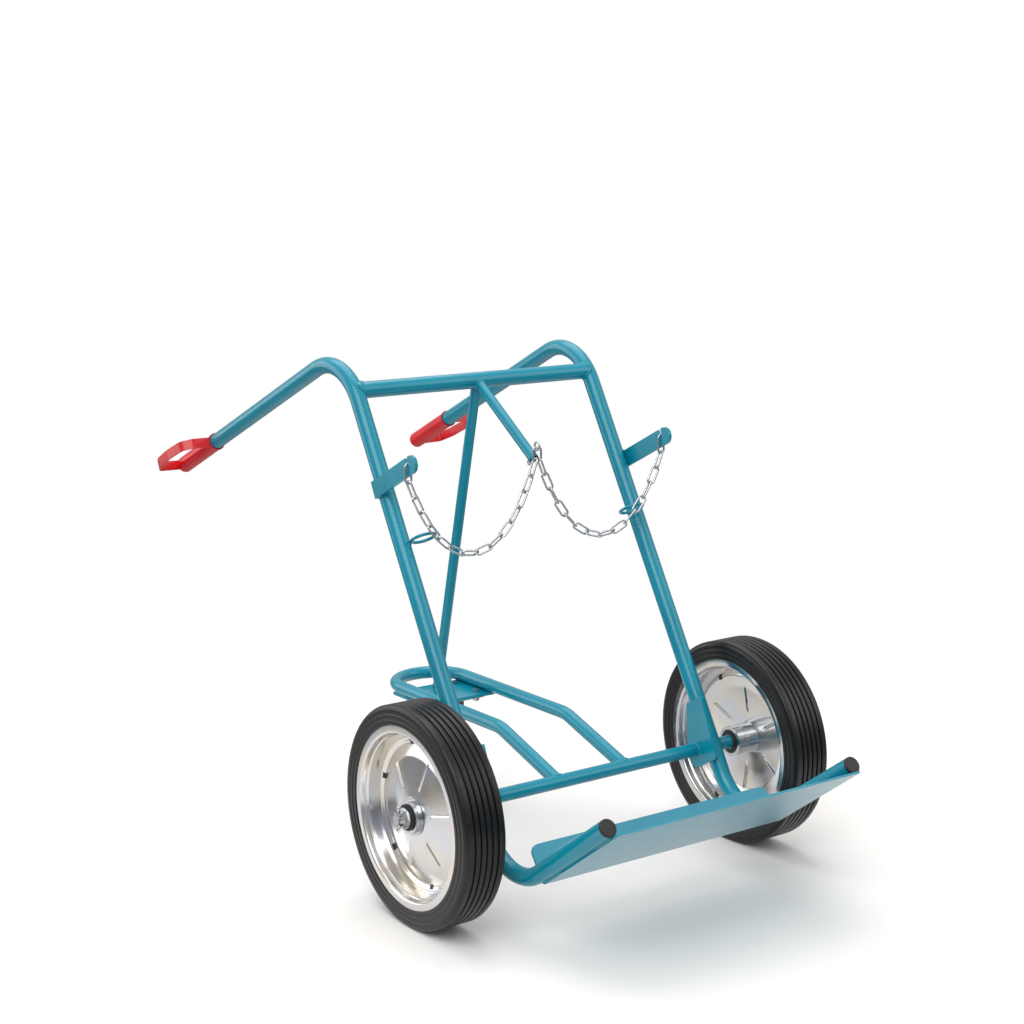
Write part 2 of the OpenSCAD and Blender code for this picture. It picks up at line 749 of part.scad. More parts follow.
// The tyre's outer line from the lip to the tread: shares of half the width and of the
// rubber's height
wall_shares = [[0.975, 0.02], [1, 0.08], [1, 0.24], [0.98, 0.26], [0.98, 0.31], [1, 0.33],
    [1, 0.5], [0.98, 0.52], [0.98, 0.57], [1, 0.59], [0.99, 0.76], [0.96, 0.88], [0.9, 0.965], [0.84, 1]];
wall_half = [for (p = wall_shares) [p[0] * tyre_w / 2, rim_r + p[1] * tyre_h]];
groove_w = tyre_w / 34;
groove_depth = tyre_h / 11;
grooves = 5;
tread_half = 0.84 * tyre_w / 2;
tread_line = [for (i = [1:grooves]) let (x = tread_half - 2 * tread_half * i / (grooves + 1))
    each [[x + groove_w, axle_z], [x + groove_w / 2, axle_z - groove_depth],
        [x - groove_w / 2, axle_z - groove_depth], [x - groove_w, axle_z]]];

module wheel_tyre(s) {
    color("#2b2b2d")
    on_axle(s) spin_outline(concat(wall_half, tread_line, flipped(wall_half),
        back_to_front(aside(rim_line, -rim_t / 2))));
}
module left_wheel_tyre() wheel_tyre(1);
module right_wheel_tyre() wheel_tyre(-1);

bearing_r = bearing_d / 2;
seal_w = rim_t;
bearing_out = hub_len / 2 - seal_w;
race_shares = [0.28, 0.72];
race_in = axle_d / 2 + race_shares[0] * (bearing_r - axle_d / 2);
race_out = axle_d / 2 + race_shares[1] * (bearing_r - axle_d / 2);

module wheel_hub(s) {
    color("silver")
    on_axle(s) difference() {
        union() {
            cylinder(h = hub_len, r = hub_r, center = true);
            translate([0, 0, dish + rim_t / 2]) cylinder(h = rim_t / 2, r = hub_r * 1.18);
        }
        cylinder(h = hub_len + 2 * over, r = race_out, center = true);
        for (k = [-1, 1]) translate([0, 0, k * (hub_len / 2 + over - (bearing_w + seal_w + over) / 2)])
            cylinder(h = bearing_w + seal_w + over, r = bearing_r, center = true);
    }
}
module left_wheel_hub() wheel_hub(1);
module right_wheel_hub() wheel_hub(-1);

// Ball bearings; the inner rings reach out to the washers
module hub_bearings(s) {
    mid_r = (race_in + race_out) / 2;
    ball_r = (race_out - race_in) / 2 - fit;
    color("silver")
    on_axle(s) for (k = [-1, 1]) scale([1, 1, k]) translate([0, 0, bearing_out - bearing_w]) {
        difference() {
            cylinder(h = bearing_w, r = bearing_r);
            translate([0, 0, -over]) cylinder(h = bearing_w + 2 * over, r = race_out);
        }
        difference() {
            cylinder(h = bearing_w + seal_w + rim_t - play, r = race_in);
            translate([0, 0, -over]) cylinder(h = hub_len, r = axle_d / 2 + fit);
        }
        for (i = [0:8]) rotate(40 * i) translate([mid_r, 0, bearing_w / 2]) sphere(r = ball_r);
    }
}
module left_hub_bearings() hub_bearings(1);
module right_hub_bearings() hub_bearings(-1);

module hub_seals(s) {
    color("#2b2b2d")
    on_axle(s) for (k = [-1, 1]) scale([1, 1, k]) translate([0, 0, bearing_out]) difference() {
        cylinder(h = seal_w + (k > 0 ? rim_t : 0), r = bearing_r);
        translate([0, 0, -over]) cylinder(h = hub_len, r = race_in);
        if (k > 0) translate([0, 0, seal_w]) cylinder(h = hub_len, r = bearing_r - 1.5 * rim_t);
    }
}
module left_hub_seals() hub_seals(1);
module right_hub_seals() hub_seals(-1);

// The castor's heights, from its top plate down
plate_z = castor_h - head_t;
crown_z = plate_z - 5.5 * head_t;
race_r = race_d / 2;
race_w = 1.3 * ball_d;
ball_z = (plate_z + crown_z) / 2;
ball_ring = race_r - race_w / 2;
race_lift = (plate_z - crown_z) / 2 - ball_d / 2 + ball_d / 8;
castor_r = castor_d / 2;
king_r = race_r / 5;
leg_gap = castor_w / 24;
leg_x = castor_w / 2 + leg_gap;

module swivel_frame() {
    translate([0, castor_back, 0]) children();
}

module castor_top_plate() {
    w = head_w / 2;
    l = head_len / 2;
    color("silver")
    difference() {
        swivel_frame() {
            translate([0, 0, plate_z]) linear_extrude(height = head_t) difference() {
                polygon(closed([[w, -l], [w, l], [-w, l], [-w, -l]],
                    [2 * head_t, 2 * head_t, 2 * head_t, 2 * head_t]));
                circle(r = king_r);
            }
            translate([0, 0, plate_z - race_lift]) difference() {
                cylinder(h = race_lift, r = race_r - play);
                translate([0, 0, -over]) cylinder(h = race_lift + 2 * over, r = race_r - race_w);
                translate([0, 0, ball_z - plate_z + race_lift]) rotate_extrude()
                    translate([ball_ring, 0]) circle(r = ball_d / 2 + play);
            }
        }
        bolt_places() translate([0, 0, plate_z - over])
            cylinder(h = head_t + 2 * over, r = bolt_d / 2 + fit);
    }
}

module castor_kingpin() {
    color("silver")
    swivel_frame() {
        translate([0, 0, crown_z - 2.5 * head_t])
            cylinder(h = castor_h - crown_z + 2.5 * head_t, r = king_r);
        translate([0, 0, crown_z - head_t - play - 1.5 * head_t]) difference() {
            hex(3 * king_r, 1.5 * head_t);
            translate([0, 0, -over]) cylinder(h = head_t * 2 + 2 * over, r = king_r);
        }
    }
}

module castor_bolts() {
    color("silver")
    bolt_places() {
        translate([0, 0, plate_z - 1.2 * bolt_d]) cylinder(h = castor_h + mount_t - plate_z + 1.2 * bolt_d,
            r = bolt_d / 2);
        translate([0, 0, mount_top]) hex(1.7 * bolt_d, 0.65 * bolt_d);
    }
}

module castor_nuts() {
    color("silver")
    bolt_places() translate([0, 0, plate_z - bolt_d]) difference() {
        hex(1.7 * bolt_d, bolt_d);
        translate([0, 0, -over]) cylinder(h = bolt_d + 2 * over, r = bolt_d / 2 + fit);
    }
}

// The fork's side outline: places behind the swivel axis are shares of the trail, heights are
// shares of the height of the castor wheel's axle
fork_shares = [[-0.62, 2.3], [0.76, 2.3], [1.46, 0.78], [0.62, 0.78], [-0.62, 1.9]];
fork_r_shares = [0.1, 0.1, 0.36, 0.36, 0.4];

module castor_fork() {
    top = crown_z - head_t / 2;
    x = leg_x + head_t / 2;
    color("silver")
    swivel_frame() difference() {
        union() {
            intersection() {
                rotate([90, 0, 0]) linear_extrude(height = 2 * castor_d, center = true)
                    polygon(band(rounded([[-x, 0], [-x, top], [x, top], [x, 0]],
                        [2 * head_t, 2 * head_t]), head_t));
                rotate([90, 0, 90]) linear_extrude(height = castor_d, center = true)
                    polygon(closed([for (p = fork_shares) [p[0] * castor_trail, p[1] * castor_r]],
                        [for (r = fork_r_shares) r * castor_trail]));
            }
            translate([0, 0, crown_z - head_t]) cylinder(h = head_t, r = race_r);
            translate([0, 0, crown_z]) difference() {
                cylinder(h = race_lift, r = race_r - play);
                translate([0, 0, -over]) cylinder(h = race_lift + 2 * over, r = race_r - race_w);
                translate([0, 0, ball_z - crown_z]) rotate_extrude()
                    translate([ball_ring, 0]) circle(r = ball_d / 2);
            }
        }
        translate([0, 0, crown_z - 2 * head_t]) cylinder(h = 4 * head_t, r = king_r + fit);
        translate([0, castor_trail, castor_r]) cross_bar(castor_w, castor_axle_d / 2);
    }
}

module castor_balls() {
    color("silver")
    swivel_frame() for (i = [0:balls - 1]) rotate(360 * i / balls)
        translate([ball_ring, 0, ball_z]) sphere(r = ball_d / 2);
}

module castor_dust_ring() {
    h = plate_z - crown_z - head_t / 2;
    color("#2b2b2d")
    swivel_frame() translate([0, 0, crown_z]) difference() {
        cylinder(h = h, r = race_r + head_t / 2);
        translate([0, 0, -over]) cylinder(h = h + 2 * over, r = race_r - play);
        translate([0, 0, race_lift]) cylinder(h = h, r = race_r + play);
    }
}

module at_castor_axle() {
    swivel_frame() translate([0, castor_trail, castor_r]) rotate([0, 90, 0]) children();
}

module castor_axle_bolt() {
    r = castor_axle_d / 2;
    x = leg_x + head_t;
    color("silver")
    at_castor_axle() {
        translate([0, 0, -x]) cylinder(h = 2 * x + 1.1 * castor_axle_d, r = r);
        translate([0, 0, -x - 0.6 * castor_axle_d]) hex(1.6 * castor_axle_d, 0.6 * castor_axle_d);
    }
}

module castor_axle_nut() {
    color("silver")
    at_castor_axle() translate([0, 0, leg_x + head_t]) difference() {
        hex(1.6 * castor_axle_d, 0.9 * castor_axle_d);
        translate([0, 0, -over]) cylinder(h = castor_axle_d + 2 * over, r = castor_axle_d / 2);
    }
}

// The sleeve that the wheel turns on, clamped between the fork's legs
sleeve_r = castor_axle_d * 0.66;
module castor_sleeve() {
    color("gray")
    at_castor_axle() difference() {
        cylinder(h = 2 * leg_x, r = sleeve_r, center = true);
        cylinder(h = 2 * leg_x + 2 * over, r = castor_axle_d / 2, center = true);
    }
}

hub_shares = [0.22, 0.76];
castor_hub_r = hub_shares[0] * castor_r;
castor_rim_r = hub_shares[1] * castor_r;
roller_r = castor_hub_r * 0.62;

module castor_rim() {
    w = castor_w / 2;
    color("dimgray")
    at_castor_axle() difference() {
        spin_outline([[w, castor_rim_r], [0.9 * w, castor_rim_r * 0.93], [0.3 * w, castor_rim_r * 0.88],
            [0.3 * w, castor_hub_r * 1.3], [0.98 * w, castor_hub_r], [0.98 * w, roller_r],
            [-0.98 * w, roller_r], [-0.98 * w, castor_hub_r], [-0.3 * w, castor_hub_r * 1.3],
            [-0.3 * w, castor_rim_r * 0.88], [-0.9 * w, castor_rim_r * 0.93], [-w, castor_rim_r]]);
    }
}

module castor_roller_bearing() {
    h = castor_w * 0.96;
    n = 10;
    step = (roller_r - sleeve_r - fit) / 3;
    color("gray")
    at_castor_axle() {
        difference() {
            cylinder(h = h, r = roller_r, center = true);
            cylinder(h = h + 2 * over, r = roller_r - step, center = true);
        }
        difference() {
            cylinder(h = h, r = sleeve_r + fit + step, center = true);
            cylinder(h = h + 2 * over, r = sleeve_r + fit, center = true);
        }
        for (i = [0:n - 1]) rotate(360 * i / n) translate([roller_r - 1.5 * step, 0, 0])
            cylinder(h = h * 0.9, r = step / 2 - fit, center = true);
    }
}

module castor_tyre() {
    w = castor_w / 2;
    color("#2b2b2d")
    at_castor_axle() spin_outline(concat([[-w, castor_rim_r], [w, castor_rim_r]],
        [for (k = [0:15:90]) [w * (0.72 + 0.28 * cos(k)), castor_r - 0.28 * w * (1 - sin(k))]],
        [for (k = [90:-15:0]) [-w * (0.72 + 0.28 * cos(k)), castor_r - 0.28 * w * (1 - sin(k))]]));
}

// The chain. Link 0 straddles the hook bar; the rest hang in a catenary from its foot to the
// connecting link. All of it is worked out for the left side, in the plane of its hang points.
function leaned(p) = [p[0], p[1] * cos(tilt) + p[2] * sin(tilt), axle_z - p[1] * sin(tilt) + p[2] * cos(tilt)];
// The slot's round foot in the hook bar's frame, then turned by the droop
slot_foot = [slot_out - (slot_depth - slot_w / 2) * sin(slot_lean),
    hook_h / 2 - (slot_depth - slot_w / 2) * cos(slot_lean)];
foot_out = slot_foot[0] * cos(hook_droop) + slot_foot[1] * sin(hook_droop);
foot_up = -slot_foot[0] * sin(hook_droop) + slot_foot[1] * cos(hook_droop);
slot_mid = leaned([hook_x, tube_y - foot_out, hook_up + foot_up]);
inner_r = link_w / 2 - wire_d;
straddle = inner_r - sqrt(inner_r * inner_r - hook_t * hook_t / 4);
hang_hook = slot_mid + [0, 0, wire_d / 2 + straddle + play - slot_w / 2];

// Both end links hang side by side on the connecting link's foot
hang_end = connect_foot + [wire_d, 0, 0];

// The chain's plane is upright and holds both hang points
chain_across = unit([hang_end[0] - hang_hook[0], hang_end[1] - hang_hook[1], 0]);
chain_side = cross(chain_across, [0, 0, -1]);

function sinh(x) = (exp(x) - exp(-x)) / 2;
function cosh(x) = (exp(x) + exp(-x)) / 2;
function asinh(x) = ln(x + sqrt(x * x + 1));
// Solves sinh(k) / k = m by Newton's steps
function droop(m, k, n = 12) = n == 0 ? k : droop(m, k - (sinh(k) - m * k) / (cosh(k) - m), n - 1);
// Point at the length t along a catenary of length c that spans w across and rises v
function hang_point(w, v, c, t) =
    let (k = droop(sqrt(c * c - v * v) / w, sqrt(6 * (sqrt(c * c - v * v) / w - 1))),
        a = w / 2 / k, low = a / 2 * ln((1 + v / c) / (1 - v / c)) - w / 2,
        from = a * sinh(low / a), at = from + t)
    [a * asinh(at / a) - low, sqrt(a * a + at * at) - sqrt(a * a + from * from)];

// Joints between the links. The first link hangs straight down, and the second takes a little
// slack where it turns off.
first_foot = hang_hook - [0, 0, pitch + wire_d / 2];
second_head = first_foot + [0, 0, 1.5 * play];
last_foot = hang_end + [0, 0, wire_d / 2 + 1.4 * play];
joints = [for (i = [0:links - 1])
    let (q = hang_point((last_foot - second_head) * chain_across, last_foot[2] - second_head[2],
        (links - 1) * pitch, i * pitch))
    second_head + chain_across * q[0] + [0, 0, q[1]]];

// Each link is a quarter turn from the last. An odd chain is also twisted a quarter turn on its
// way, so that its last link stands square to the connecting link.
twist = links % 2 == 1 ? 90 / (links - 1) : 0;

module chain() {
    color("silver")
    for (i = [0:links - 1]) {
        a = i == 0 ? hang_hook - [0, 0, wire_d / 2] : joints[i - 1];
        b = i == 0 ? first_foot : joints[i];
        z = unit(b - a);
        roll = 90 * i + twist * i;
        x = cross(chain_side, z) * cos(roll) + chain_side * sin(roll);
        multmatrix(basis(x, cross(z, x), z, (a + b) / 2))
            link(pitch + 0.9 * play, link_w - 2 * wire_d, wire_d);
    }
}
module left_chain() chain();
module right_chain() mirror([1, 0, 0]) chain();

left_side_tube();
right_side_tube();
upper_cross_tube();
axle_tube();
left_axle_plate();
right_axle_plate();
rear_bow();
castor_mount();
brace_tube();
centre_arm();
eye_bolt();
eye_nut();
connecting_link();
left_hook_bar();
right_hook_bar();
left_tool_loop();
right_tool_loop();
toe_plate();
left_toe_cap();
right_toe_cap();
left_grip();
right_grip();
axle();
axle_washers();
axle_nuts();
split_pins();
left_wheel_rim();
right_wheel_rim();
left_wheel_disc();
right_wheel_disc();
left_wheel_tyre();
right_wheel_tyre();
left_wheel_hub();
right_wheel_hub();
left_hub_bearings();
right_hub_bearings();
left_hub_seals();
right_hub_seals();
castor_top_plate();
castor_kingpin();
castor_bolts();
castor_nuts();
castor_fork();
castor_balls();
castor_dust_ring();
castor_axle_bolt();
castor_axle_nut();
castor_sleeve();
castor_rim();
castor_roller_bearing();
castor_tyre();
left_chain();
right_chain();
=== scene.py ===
import json
import math

import bmesh
import bpy
import numpy as np
from mathutils import Matrix, Vector


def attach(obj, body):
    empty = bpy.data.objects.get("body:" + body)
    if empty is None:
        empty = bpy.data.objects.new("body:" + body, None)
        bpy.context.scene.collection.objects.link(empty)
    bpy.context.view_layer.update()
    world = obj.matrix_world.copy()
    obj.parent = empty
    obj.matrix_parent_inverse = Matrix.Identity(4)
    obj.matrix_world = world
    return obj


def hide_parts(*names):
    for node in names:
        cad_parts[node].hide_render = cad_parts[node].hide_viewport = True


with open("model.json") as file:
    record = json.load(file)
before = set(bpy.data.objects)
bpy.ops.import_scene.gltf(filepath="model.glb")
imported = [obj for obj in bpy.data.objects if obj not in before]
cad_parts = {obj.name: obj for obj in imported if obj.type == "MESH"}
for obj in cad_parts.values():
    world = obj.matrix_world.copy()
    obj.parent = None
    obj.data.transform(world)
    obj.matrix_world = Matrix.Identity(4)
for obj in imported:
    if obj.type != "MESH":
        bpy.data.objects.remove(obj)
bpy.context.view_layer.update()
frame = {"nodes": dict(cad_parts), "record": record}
nodes = frame["nodes"]
mm = 0.001
fullTurn = 2 * math.pi
print("frame loaded:", len(nodes), "nodes")

photoView = {
    "azimuth": -34.84, "elevation": 10.09, "roll": -0.76,  # degrees
    "distance": 3.50489, "slide": (-0.14252, 0.19497), "aim": (0.0, 0.0, 0.5),  # metres
    "lens": 67.06, "sensor": 36.0,  # mm
    "clipEnd": 60.0,
}


def makeCamera():
    # back, right and up follow from azimuth and elevation; roll then turns right and up
    v = photoView
    a, e, r = (math.radians(v[k]) for k in ("azimuth", "elevation", "roll"))
    back = Vector((math.sin(a) * math.cos(e), -math.cos(a) * math.cos(e), math.sin(e)))
    right = Vector((math.cos(a), math.sin(a), 0))
    up = back.cross(right)
    rolledRight = right * math.cos(r) + up * math.sin(r)
    rolledUp = up * math.cos(r) - right * math.sin(r)
    place = Vector(v["aim"]) + back * v["distance"] + right * v["slide"][0] + up * v["slide"][1]
    data = bpy.data.cameras.new("photoCamera")
    data.lens = v["lens"]
    data.sensor_width = v["sensor"]
    data.clip_end = v["clipEnd"]
    camera = bpy.data.objects.new("photoCamera", data)
    bpy.context.scene.collection.objects.link(camera)
    turn = Matrix((rolledRight, rolledUp, back)).transposed().to_4x4()
    camera.matrix_world = Matrix.Translation(place) @ turn
    bpy.context.scene.camera = camera


makeCamera()
print("camera placed")


def linear(hexColour):
    # sRGB hex to linear light
    parts = [int(hexColour[i:i + 2], 16) / 255 for i in (1, 3, 5)]
    return [p / 12.92 if p <= 0.04045 else ((p + 0.055) / 1.055) ** 2.4 for p in parts] + [1.0]


def addNode(tree, kind, settings=None, inputs=None):
    # adds one node; an input given as a socket is linked, any other value is set
    node = tree.nodes.new(kind)
    for key, value in (settings or {}).items():
        setattr(node, key, value)
    for key, value in (inputs or {}).items():
        if isinstance(value, bpy.types.NodeSocket):
            tree.links.new(value, node.inputs[key])
        else:
            node.inputs[key].default_value = value
    return node


# Each finish has the values of its shader, one colour and the mottles laid on it. A mottle is a noise:
# lump is the size of one lump in mm, detail the number of finer octaves in it, and the part of the
# noise inside band is spread over spread. In relief, depth is in mm.
finishes = {
    # polyester powder coat on tube: glossy, with a slight orange peel of lumps a few mm across
    "blue_paint": {
        "name": "tealPowderCoat", "colour": "#007D93",
        "shader": {"IOR": 1.5, "Specular IOR Level": 0.38, "Coat Weight": 0.15, "Coat Roughness": 0.08},
        "tints": [{"colour": "#00869D", "lump": 140, "detail": 3, "band": (0.3, 0.7), "spread": (0, 1)}],
        "gloss": {"lump": 24, "detail": 3, "band": (0.3, 0.7), "spread": (0.18, 0.23)},
        "relief": {"lump": 5, "detail": 0, "strength": 0.012, "depth": 0.06},
    },
    # bright zinc on drawn wire and turned steel: soft grey metal, slightly uneven gloss
    "zinc": {
        "name": "brightZincPlate", "colour": "#B0B3B7", "shader": {"Metallic": 1.0},
        "tints": [{"colour": "#C4C6C9", "lump": 7, "detail": 3, "band": (0.3, 0.7), "spread": (0, 1)}],
        "gloss": {"lump": 6, "detail": 2, "band": (0.3, 0.7), "spread": (0.17, 0.24)},
        "relief": {"lump": 2, "detail": 1, "strength": 0.01, "depth": 0.03},
    },
    # pressed sheet in passivated zinc: bright, with a faint straw and violet bloom
    "rim_zinc": {
        "name": "passivatedZincRim", "colour": "#D6D1C6", "shader": {"Metallic": 1.0},
        "tints": [{"colour": "#CBCFD6", "lump": 60, "detail": 2, "band": (0.35, 0.65), "spread": (0, 1)},
                  {"colour": "#D0C4D2", "lump": 22, "detail": 2, "band": (0.52, 0.75), "spread": (0, 0.5)}],
        "gloss": {"lump": 30, "detail": 3, "band": (0.3, 0.7), "spread": (0.13, 0.2)},
        "relief": {"lump": 26, "detail": 1, "strength": 0.1, "depth": 0.5},
    },
    # ground shaft steel: the marks of grinding, drawn as a fine grain that breaks up the gloss
    "steel": {
        "name": "groundShaftSteel", "colour": "#A9ABAE", "shader": {"Metallic": 1.0},
        "gloss": {"lump": 1.5, "detail": 3, "band": (0.3, 0.7), "spread": (0.22, 0.4)},
        "relief": {"lump": 0.7, "detail": 2, "strength": 0.1, "depth": 0.05},
    },
    # solid moulded rubber: black, half matt, with a dusty bloom in patches
    "tyre_rubber": {
        "name": "mouldedTyreRubber", "colour": "#09080A",
        "shader": {"IOR": 1.52, "Specular IOR Level": 0.36},
        "tints": [{"colour": "#110F12", "lump": 60, "detail": 5, "band": (0.4, 0.75), "spread": (0, 1)}],
        "gloss": {"lump": 12, "detail": 4, "band": (0.3, 0.7), "spread": (0.27, 0.38)},
        "relief": {"lump": 1.6, "detail": 2, "strength": 0.06, "depth": 0.06},
    },
    # nitrile lip seal: matt black
    "seal_rubber": {
        "name": "nitrileSeal", "colour": "#141414", "shader": {"IOR": 1.52},
        "gloss": {"lump": 2, "detail": 3, "band": (0.3, 0.7), "spread": (0.5, 0.7)},
        "relief": {"lump": 0.7, "detail": 2, "strength": 0.2, "depth": 0.1},
    },
    # injection moulded polyethylene: signal red, slightly waxy, with a fine eroded grain
    "red_plastic": {
        "name": "mouldedRedPlastic", "colour": "#C20A16",
        "shader": {"IOR": 1.5, "Subsurface Weight": 0.02, "Subsurface Radius": (0.004, 0.001, 0.0008)},
        "tints": [{"colour": "#D00F1B", "lump": 30, "detail": 3, "band": (0.3, 0.7), "spread": (0, 1)}],
        "gloss": {"lump": 12, "detail": 2, "band": (0.3, 0.7), "spread": (0.26, 0.32)},
        "relief": {"lump": 1.6, "detail": 1, "strength": 0.02, "depth": 0.04},
    },
    # moulded polyethylene plug: black, eggshell gloss; also used for the dark sheets of painted shade in
    # the wheel discs' tab holes
    "black_plastic": {
        "name": "blackPlugPlasticAndHoleShade", "colour": "#151516", "shader": {"IOR": 1.5},
        "gloss": {"lump": 4, "detail": 3, "band": (0.3, 0.7), "spread": (0.42, 0.58)},
        "relief": {"lump": 0.8, "detail": 2, "strength": 0.2, "depth": 0.12},
    },
    # moulded polypropylene rim: dark grey, half matt
    "castor_plastic": {
        "name": "greyRimPolypropylene", "colour": "#3B3C3E", "shader": {"IOR": 1.49},
        "gloss": {"lump": 5, "detail": 3, "band": (0.3, 0.7), "spread": (0.4, 0.55)},
        "relief": {"lump": 0.9, "detail": 2, "strength": 0.2, "depth": 0.12},
    },
}


def mottle(tree, place, layer):
    # noise on the piece's own coordinates, as strong as it comes or with its band spread out
    value = addNode(tree, "ShaderNodeTexNoise", inputs={
        "Vector": place, "Scale": 1 / (layer["lump"] * mm), "Detail": layer["detail"]}).outputs["Fac"]
    if "band" in layer:
        (low, high), (toLow, toHigh) = layer["band"], layer["spread"]
        value = addNode(tree, "ShaderNodeMapRange", inputs={
            "Value": value, "From Min": low, "From Max": high,
            "To Min": toLow, "To Max": toHigh}).outputs["Result"]
    return value


def makeFinish(finish):
    # tints are laid over the colour one by one, then gloss and relief where the finish has them
    material = bpy.data.materials.new(finish["name"])
    material.use_nodes = True
    tree = material.node_tree
    tree.nodes.clear()
    place = addNode(tree, "ShaderNodeTexCoord").outputs["Object"]
    colour = linear(finish["colour"])
    for tint in finish.get("tints", []):
        colour = addNode(tree, "ShaderNodeMix", {"data_type": "RGBA"}, {
            0: mottle(tree, place, tint), 6: colour, 7: linear(tint["colour"])}).outputs[2]
    shader = addNode(tree, "ShaderNodeBsdfPrincipled", inputs={"Base Color": colour, **finish["shader"]})
    if "gloss" in finish:
        tree.links.new(mottle(tree, place, finish["gloss"]), shader.inputs["Roughness"])
    if "relief" in finish:
        relief = finish["relief"]
        bump = addNode(tree, "ShaderNodeBump", inputs={
            "Height": mottle(tree, place, relief),
            "Strength": relief["strength"], "Distance": relief["depth"] * mm})
        tree.links.new(bump.outputs["Normal"], shader.inputs["Normal"])
    addNode(tree, "ShaderNodeOutputMaterial", inputs={"Surface": shader.outputs["BSDF"]})
    return material


materials = {slot: makeFinish(finish) for slot, finish in finishes.items()}
for part in frame["record"]["subparts"]:
    mesh = nodes[part["node"]].data
    mesh.materials.clear()
    mesh.materials.append(materials[part["material_slot"]])
print("materials made:", len(materials))

mergeMm = 0.004  # corners nearer than this are one corner


def gridFaces(nu, nv, closedU, closedV, first):
    # quads of a nu by nv grid of points, in rows of nv
    u = np.arange(nu if closedU else nu - 1)
    v = np.arange(nv if closedV else nv - 1)
    i, j = np.meshgrid(u, v, indexing="ij")
    i2, j2 = (i + 1) % nu, (j + 1) % nv
    quads = np.stack([i * nv + j, i2 * nv + j, i2 * nv + j2, i * nv + j2], axis=-1)
    return quads.reshape(-1, 4) + first


def makePiece(name, surfaces, slot, body, replaced, sharpDeg):
    # surfaces: a list of (points as nu x nv x 3 in mm, closedU, closedV) and, where some faces are
    # left out, a table of the kept ones; doubles at poles and seams are merged, and edges that turn
    # by more than sharpDeg stay sharp
    corners, faces, first = [], [], 0
    for points, closedU, closedV, *kept in surfaces:
        nu, nv = points.shape[:2]
        corners.append(points.reshape(-1, 3) * mm)
        quads = gridFaces(nu, nv, closedU, closedV, first)
        faces.append(quads[kept[0].ravel()] if kept else quads)
        first += nu * nv
    mesh = bpy.data.meshes.new(name)
    mesh.from_pydata(np.vstack(corners), [], np.vstack(faces).tolist())
    work = bmesh.new()
    work.from_mesh(mesh)
    bmesh.ops.remove_doubles(work, verts=work.verts, dist=mergeMm * mm)
    bmesh.ops.recalc_face_normals(work, faces=work.faces)
    work.to_mesh(mesh)
    work.free()
    mesh.shade_smooth()
    mesh.set_sharp_from_angle(angle=math.radians(sharpDeg))
    mesh.materials.append(materials[slot])
    piece = bpy.data.objects.new(name, mesh)
    bpy.context.scene.collection.objects.link(piece)
    if replaced:
        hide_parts(*replaced)
    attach(piece, body)


def unit(v):
    # each vector divided by its own length
    v = np.asarray(v, float)
    return v / np.linalg.norm(v, axis=-1, keepdims=True)


def ringAngles(count):
    # a full turn in even steps, without the last angle, which is the first again
    return np.linspace(0, fullTurn, count, endpoint=False)


def lengthAlong(path):
    # distance from the path's first point to each of its points
    return np.concatenate([[0], np.cumsum(np.linalg.norm(np.diff(path, axis=0), axis=1))])


def pointsAt(path, at):
    # points on the path at the given distances from its first point
    along = lengthAlong(path)
    return np.stack([np.interp(at, along, column) for column in path.T], axis=1)


def besideLine(line):
    # unit normal of a flat line at each of its points, a quarter turn left of the way ahead
    ahead = np.gradient(line, axis=0)
    return unit(np.stack([-ahead[:, 1], ahead[:, 0]], axis=1))


def roundedLine(points, radii, steps, loop=False):
    # a polyline whose corners are replaced by arcs of the given radii, or by smaller arcs where
    # two of them would meet on one side
    nearlyHalf, straight = 0.49, 1e-4
    points = [np.asarray(p, float) for p in points]
    n = len(points)
    out = []
    for i, p in enumerate(points):
        if (not loop and i in (0, n - 1)) or radii[i] <= 0:
            out.append(p)
            continue
        toLast, toNext = points[i - 1] - p, points[(i + 1) % n] - p
        a, b = unit(toLast), unit(toNext)
        half = math.acos(max(-1.0, min(1.0, float(a @ b)))) / 2
        reach = min(radii[i] / math.tan(half), nearlyHalf * np.linalg.norm(toLast),
                    nearlyHalf * np.linalg.norm(toNext))
        turn = math.pi - 2 * half
        if turn <= straight:
            out += [p] * (steps + 1)
            continue
        middle = p + unit(a + b) * reach * math.tan(half) / math.sin(half)
        start, end = p + a * reach - middle, p + b * reach - middle
        for f in np.linspace(0, 1, steps + 1):
            out.append(middle + (math.sin((1 - f) * turn) * start + math.sin(f * turn) * end)
                       / math.sin(turn))
    return np.array(out)


def roundedSection(rows, steps, loop=False):
    # rows: x outwards from the wheel's middle, radius from the axle, radius of the corner's arc
    return roundedLine([row[:2] for row in rows], [row[2] for row in rows], steps, loop)


def mirrored(rows):
    # the section's outer half, then the same half turned inwards
    return [(-x, r, corner) for x, r, corner in reversed(rows)]


roadWheel = {"x": 372.0, "axleZ": 200.0, "radius": 200.0}


def aroundAxle(x, r, angle, side):
    # surface of revolution: x outwards and radius r, carried round the axle by angle
    x, r, angle = np.broadcast_arrays(x, r, angle)
    return np.stack([side * (roadWheel["x"] + x), r * np.cos(angle),
                     roadWheel["axleZ"] + r * np.sin(angle)], axis=-1)


